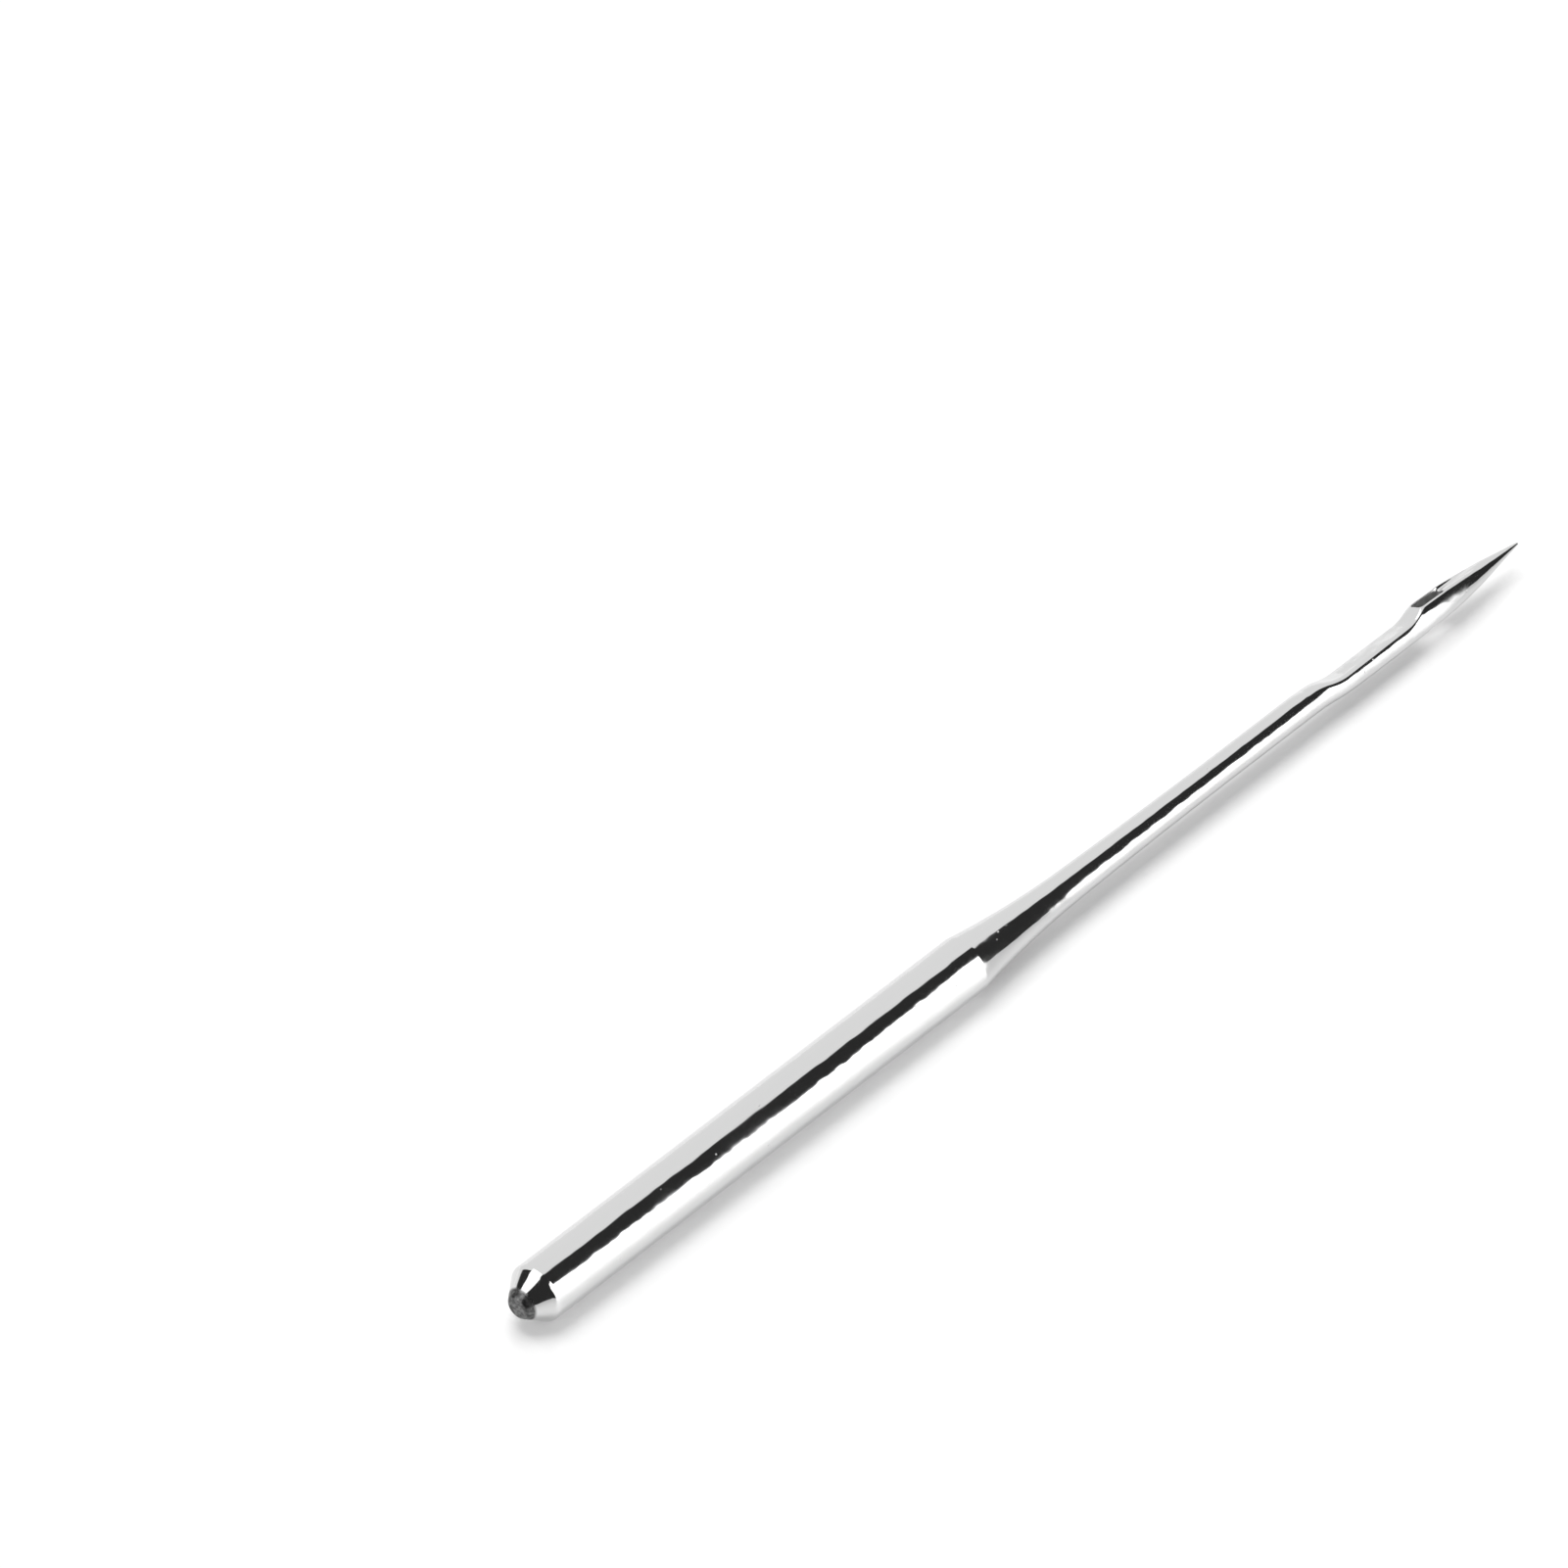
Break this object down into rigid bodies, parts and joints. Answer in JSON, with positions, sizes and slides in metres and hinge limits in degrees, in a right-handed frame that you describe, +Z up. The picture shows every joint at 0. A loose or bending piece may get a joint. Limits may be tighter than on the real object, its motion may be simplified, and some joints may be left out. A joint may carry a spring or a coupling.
{
  "type": "sewing machine needle",
  "caption": "Round-shank sewing machine needle with a long thread groove, an eye, a scarf and a tapered point.",
  "frame": {"origin": "on the surface that the needle lies on, below the middle of its length", "axes": "+X runs along the needle from the butt to the point, +Z is up as it lies, and the scarf faces up and towards +Y"},
  "size_m": [0.0388, 0.0016, 0.0016],
  "materials": {
    "plated_steel": "bright plated and polished steel"
  },
  "bodies": {
    "root": {"needle": "plated_steel"}
  },
  "joints": []
}
